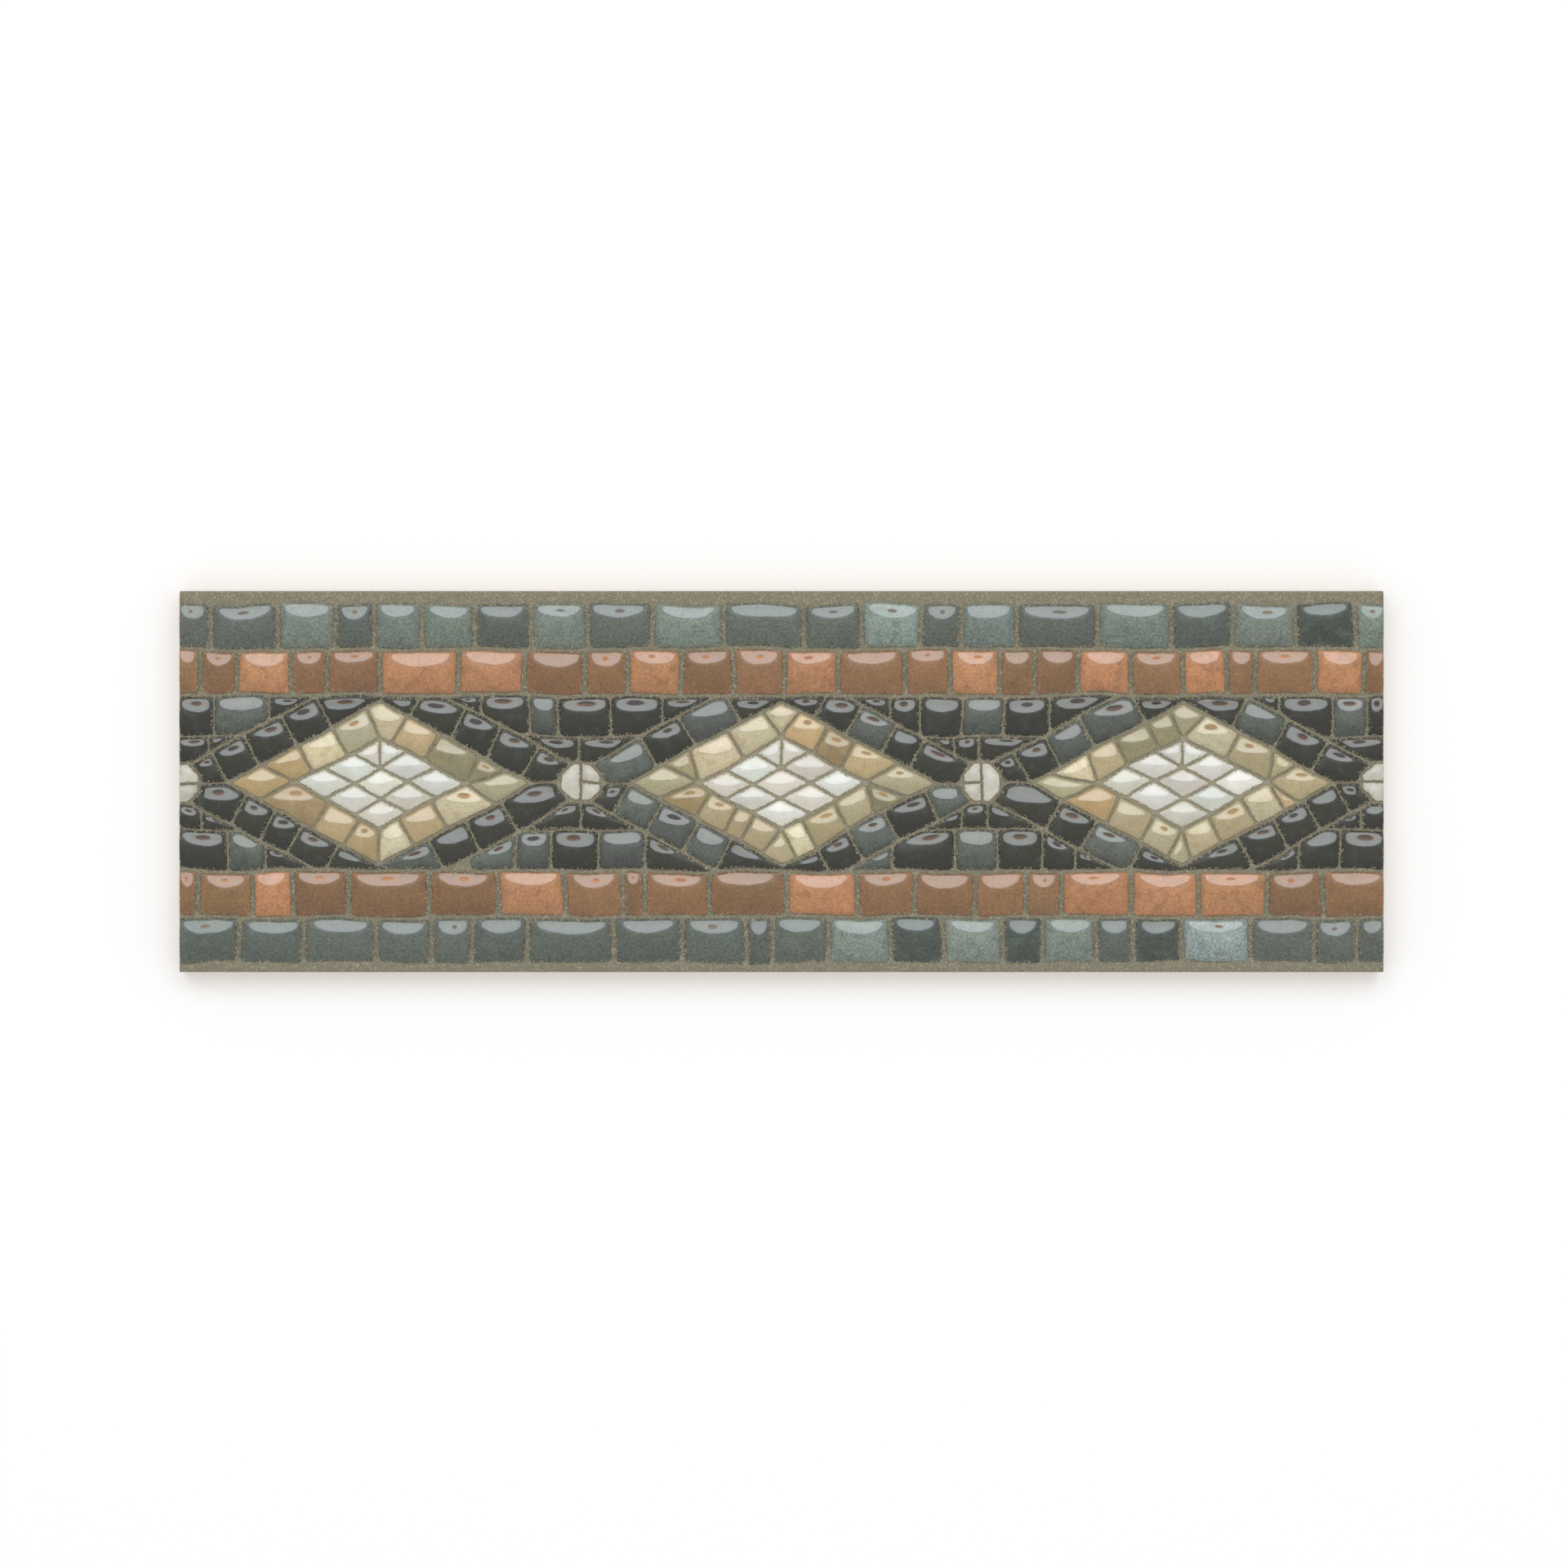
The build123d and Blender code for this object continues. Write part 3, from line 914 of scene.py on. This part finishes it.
sand = sand_group()
joint_sand = {"Plain": opaque("#87826e"), "Dark": opaque("#7c7765"), "Pale": opaque("#9d9680")}
print("sand group", len(sand.nodes), "nodes")

# %% [markdown]
# ## The wash
# Each glaze is laid on like watercolour: cloudy, tinted in patches, pooled at the rim, and grainy close
# up. A painted shade makes it a little lighter near the highlight and darker towards the lower edge. A
# noise is given by its features in a metre and its detail, and a window by where it starts and where it is
# full.

# %% The wash
cloud_noise, grain_noise, fret_noise, patch_noise = (230, 4), (1700, 1), (1100, 2), (340, 3)
patch_window, patch_share = (0.48, 0.70), 0.45
pool_rim, pool_cloud, pool_share = (0.1, 0.95), (0.36, 0.60), 0.40
cloud_share, least_shade = 0.44, 0.78
# painted shade: darker where v is below the first number, lighter above the second
painted_shade_window = (-3.8, -1.4)
half = 0.5


def wash(tree, given, cloud, grain, v):
    """Glaze, blended with the tint in patches and with the edge colour at the rim, times the shade: cloud,
    plus grain, plus the painted shade down the body, lighter near the highlight and darker below."""
    patches = window(tree, noise(tree, *patch_noise), *patch_window)
    glaze = mix(tree, math(tree, "MULTIPLY", patches, patch_share), given["Glaze"], given["Tint"])
    at_rim = window(tree, given["Rim"], *pool_rim)
    pooled = math(tree, "MULTIPLY", at_rim, window(tree, cloud, *pool_cloud))
    glaze = mix(tree, math(tree, "MULTIPLY", pooled, pool_share), glaze, given["Edge"])
    shade = math(tree, "MULTIPLY_ADD", cloud, cloud_share, least_shade)
    shade = math(tree, "MULTIPLY_ADD", math(tree, "SUBTRACT", grain, half), given["Grain"], shade)
    # painted shade down the body, lighter near the highlight and darker towards the lower edge
    below = math(tree, "SUBTRACT", window(tree, v, *painted_shade_window), half)
    shade = math(tree, "MULTIPLY_ADD", below, given["Fade"], shade)
    return mix(tree, 1.0, glaze, shade, "MULTIPLY")


print("wash ready")

# %% [markdown]
# ## Painting the highlight
# The pale lens is a painted highlight, so its colour adds to the wash under it. Below it a bluish
# halo is painted too, as part of the highlight.

# %% Painting the lens
lens_window = (1.15, 0.80)
highlight_strength, light_slope = 0.86, -0.02
halo_window, halo_side, halo_share = (2.6, 1.1), (0.1, -0.6), 0.30


def lens_gauge(tree, highlight_axes, wobble):
    """1 on the edge of the lens, where two cubes add up to 1: the cube of |u| squared plus |v| to the
    power 1.8 plus the wobble, and the cube of 1 over the inset."""
    size = [math(tree, "ABSOLUTE", highlight_axes[axis]) for axis in "XY"]
    u, v = (math(tree, "POWER", *pair) for pair in zip(size, oval_powers))
    oval = math(tree, "MAXIMUM", math(tree, "ADD", math(tree, "ADD", u, v), wobble), 0.0)
    inset_cube = math(tree, "POWER", highlight_axes["Z"], -corner_power)
    return math(tree, "ADD", math(tree, "POWER", oval, corner_power), inset_cube)


def painted_highlight(tree, given, washed, v, beyond):
    """The wash, blended with the painted halo round the lower side of the lens, plus the painted highlight
    inside it. Gives the colour and the lens as a mask."""
    lens = window(tree, beyond, *lens_window)
    light = math(tree, "MULTIPLY", lens, math(tree, "MULTIPLY_ADD", v, light_slope, highlight_strength))
    halo = math(tree, "MULTIPLY", window(tree, beyond, *halo_window), window(tree, v, *halo_side))
    rimmed = mix(tree, math(tree, "MULTIPLY", halo, halo_share), washed, given["Painted Halo"])
    return mix(tree, light, rimmed, given["Painted Highlight"], "ADD"), lens


print("lens ready")

# %% [markdown]
# ## Painting the slit
# The slit is a painted reflection, a dark mark inside the painted highlight. On some tesserae its lower
# half turns warm, and a faint warm fringe runs out round it.

# %% Painting the slit
slit_window = (1.15, 0.80)
slit_wobble = 3.0
fringe_window, fringe_share = (2.2, 1.2), 0.25
warm_chance, warm_side = (0.30, 0.60), (0.40, -0.30)


def painted_reflection_slit(tree, given, highlighted, lens, wobble):
    """The slit, a painted reflection, is where u squared plus v squared plus three times the wobble is
    below 1.
    It is blended from dark to warm by the chance number and v, and laid over a fringe a little larger than
    itself."""
    cut = add(tree, "ShaderNodeSeparateXYZ", {0: given["Slit"]}).outputs
    squares = math(tree, "MULTIPLY_ADD", cut["X"], cut["X"], math(tree, "MULTIPLY", cut["Y"], cut["Y"]))
    squares = math(tree, "MULTIPLY_ADD", wobble, slit_wobble, squares)
    faint = math(tree, "MULTIPLY", lens, fringe_share)
    fringe = math(tree, "MULTIPLY", window(tree, squares, *fringe_window), faint)
    inner = math(tree, "MULTIPLY", window(tree, squares, *slit_window), lens)
    warm = math(tree, "MULTIPLY", window(tree, cut["Z"], *warm_chance), window(tree, cut["Y"], *warm_side))
    stroke = mix(tree, warm, given["Slit Dark"], given["Slit Warm"])
    return mix(tree, inner, mix(tree, fringe, highlighted, given["Slit Warm"]), stroke)


print("slit ready")

# %% [markdown]
# ## Painted glaze and highlight
# One group lays the wash, the painted highlight and the slit, a painted reflection, on top of each
# other, and then lets grains of joint sand fret the very edge, which is dull there.

# %% Glaze group
# halo and highlight colours are painted highlight, the two slit colours a painted reflection
recipe_sockets = ("Tint", "Edge", "Painted Halo", "Painted Highlight", "Slit Dark", "Slit Warm")
glaze_sockets = {
    "Color": ("Glaze", *recipe_sockets),
    "Float": ("Grain", "Fade", "Rim"),
    "Vector": ("Lens", "Slit"),
}
wobble_share = 0.20
edge_darkening = 0.25
mean_grain, grain_share, fret_share = 0.35, 0.34, 0.45
dust_window = (0.86, 0.98)
clean_roughness, dust_roughness = 0.28, 0.45
grain_height = 0.4


def glaze_and_highlight_group():
    """Colour = wash, painted highlight and the slit's painted reflection, then sand where the rim, shifted
    by noise and by the height of the grains, is near 1. Roughness grows with the sand. Height = cloud plus
    a share of the grain."""
    sockets = {name: kind for kind, names in glaze_sockets.items() for name in names}
    outputs = {"Color": "Color", "Roughness": "Float", "Height": "Float"}
    tree, given, made = open_group("painted_glaze", sockets, outputs)
    cloud, grain, fret = (noise(tree, *kind) for kind in (cloud_noise, grain_noise, fret_noise))
    highlight_axes = add(tree, "ShaderNodeSeparateXYZ", {0: given["Lens"]}).outputs
    wobble = math(tree, "MULTIPLY_ADD", fret, wobble_share, -wobble_share / 2)
    washed = wash(tree, given, cloud, grain, highlight_axes["Y"])
    highlighted, lens = painted_highlight(tree, given, washed, highlight_axes["Y"], lens_gauge(tree, highlight_axes, wobble))
    marked = painted_reflection_slit(tree, given, highlighted, lens, wobble)
    grit = add(tree, "ShaderNodeGroup", {**joint_sand, "Darkening": edge_darkening}, node_tree=sand).outputs
    edge = math(tree, "MULTIPLY_ADD", math(tree, "SUBTRACT", fret, half), fret_share, given["Rim"])
    grains = math(tree, "SUBTRACT", grit["Height"], mean_grain)
    dust = window(tree, math(tree, "MULTIPLY_ADD", grains, grain_share, edge), *dust_window)
    tree.links.new(mix(tree, dust, marked, grit["Color"]), made["Color"])
    tree.links.new(math(tree, "MULTIPLY_ADD", dust, dust_roughness, clean_roughness), made["Roughness"])
    tree.links.new(math(tree, "MULTIPLY_ADD", grain, grain_height, cloud), made["Height"])
    return tree


painted_glaze = glaze_and_highlight_group()
print("glaze group", len(painted_glaze.nodes), "nodes")

# %% [markdown]
# ## Glaze materials
# Each family has its recipe of six colours, its grain and the depth of its painted shade. Two of the
# colours are painted highlight and two are the slit's painted reflection. The glaze itself, the rim and
# the axes of the painted highlights come from the points. The gloss on top is the shader's own.

# %% Glaze materials
# per family: tint, edge, painted halo, painted highlight, and the slit's painted reflection, dark and warm
glaze_and_highlight_recipes = {
    "slate": ("#56645c", "#4f5950", "#6b7b86", "#797c7b", "#635e54", "#84704f"),
    "terracotta": ("#785c3c", "#98603f", "#a07c66", "#837d7c", "#a86d40", "#c08048"),
    "black": ("#3b403e", "#191914", "#4b5863", "#828482", "#1f160f", "#5c3a18"),
    "amber": ("#a39468", "#958860", "#b0a78e", "#8a8781", "#9c7d50", "#b08a52"),
    "white": ("#d0cec2", "#c2bdab", "#c9ced2", "#7d7d7d", "#b5ae98", "#b5ae98"),
}
graininess = {"slate": 1.4, "terracotta": 0.95, "black": 1.2, "amber": 0.5, "white": 0.25}
# depth of the painted shade down each tessera, for each family
painted_shade_depth = {"slate": 0.16, "terracotta": 0.13, "black": 0.45, "amber": 0.08, "white": 0.05}
carried = {"Glaze": "Color", "Rim": "Fac", "Lens": "Vector", "Slit": "Vector"}
glaze_bump, glaze_bump_strength = 0.12 * mm, 0.5


def bumped(tree, height, strength, distance):
    """The normal of a surface that a height makes uneven."""
    sockets = {"Height": height, "Strength": strength, "Distance": distance}
    return add(tree, "ShaderNodeBump", sockets).outputs["Normal"]


def glaze_material(family, recipe):
    """A glossy glaze whose colour, with its painted highlight and painted shade, and roughness come from
    its group.
    """
    made, tree, shader = open_material(family + "_glaze")
    sockets = {socket: opaque(code) for socket, code in zip(recipe_sockets, recipe)}
    sockets.update({"Grain": graininess[family], "Fade": painted_shade_depth[family]})
    for socket, output in carried.items():
        point_value = add(tree, "ShaderNodeAttribute", attribute_name=socket.lower())
        sockets[socket] = point_value.outputs[output]
    painted = add(tree, "ShaderNodeGroup", sockets, node_tree=painted_glaze).outputs
    normal = bumped(tree, painted["Height"], glaze_bump_strength, glaze_bump)
    tree.links.new(painted["Color"], shader["Base Color"])
    tree.links.new(painted["Roughness"], shader["Roughness"])
    tree.links.new(normal, shader["Normal"])
    shader["IOR"].default_value = 1.5
    return made


for family, recipe in glaze_and_highlight_recipes.items():
    tesserae[family].data.materials.append(glaze_material(family, recipe))
print("glazes", list(glaze_and_highlight_recipes))

# %% [markdown]
# ## Body material
# The face of the body is joint sand, and below the arris the bare fired clay shows: buff, dull, with
# darker specks. The height on the tile tells one from the other.

# %% Body material
bare_clay = {"Plain": opaque("#c9b596"), "Dark": opaque("#b8a484"), "Pale": opaque("#d6c5a8")}
sand_starts, sand_full = bed_level - 1.2 * arris, bed_level - 0.9 * arris
sand_bump, sand_bump_strength = 0.15 * mm, 0.6


def body_material():
    """Sand above the arris and clay below it, each from the sand group with its own three colours."""
    made, tree, shader = open_material("sand_and_clay")
    joint_darkening = add(tree, "ShaderNodeAttribute", attribute_name="sand_darkening").outputs["Fac"]
    joint = add(tree, "ShaderNodeGroup", {**joint_sand, "Darkening": joint_darkening}, node_tree=sand).outputs
    clay = add(tree, "ShaderNodeGroup", bare_clay, node_tree=sand).outputs
    level = add(tree, "ShaderNodeSeparateXYZ", {0: own_place(tree)}).outputs["Z"]
    on_face = window(tree, level, sand_starts, sand_full)
    tree.links.new(mix(tree, on_face, clay["Color"], joint["Color"]), shader["Base Color"])
    tree.links.new(bumped(tree, joint["Height"], sand_bump_strength, sand_bump), shader["Normal"])
    shader["Roughness"].default_value = 0.85
    return made


body.data.materials.append(body_material())
print("body material on", body.name)

# %% [markdown]
# ## Floor
# The tile lies on a wide pale floor. The floor is almost white under the studio light, and a little
# glow that only the camera and mirror rays see lifts it to white without lighting the tile.

# %% Floor
floor_half = 6.0
floor_gap = 0.05 * mm
floor_glow = 0.06


def pale_floor():
    """A level square, dull and nearly white, with the glow added for seen rays."""
    square = np.array([[-1, -1, 0], [1, -1, 0], [1, 1, 0], [-1, 1, 0]])
    mesh = new_mesh("floor", square * floor_half - [0, 0, floor_gap], [np.array([[0, 1, 2, 3]])])
    made, tree, shader = open_material("pale_floor")
    shader["Base Color"].default_value = (0.97, 0.97, 0.97, 1)
    shader["Roughness"].default_value = 0.9
    shader["Specular IOR Level"].default_value = 0.0
    shader["Emission Color"].default_value = (1, 1, 1, 1)
    tree.links.new(math(tree, "MULTIPLY", seen_rays(tree), floor_glow), shader["Emission Strength"])
    mesh.materials.append(made)
    return put(bpy.data.objects.new("floor", mesh))


pale_floor()
print("floor", 2 * floor_half, "m wide")

# %% [markdown]
# ## Attaching the pieces
# Every piece rides on the tile's one body and stands for the imported tile, which is hidden.

# %% Attaching the pieces
for piece in [body, *tesserae.values()]:
    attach(piece, "root")
    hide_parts(node_name)
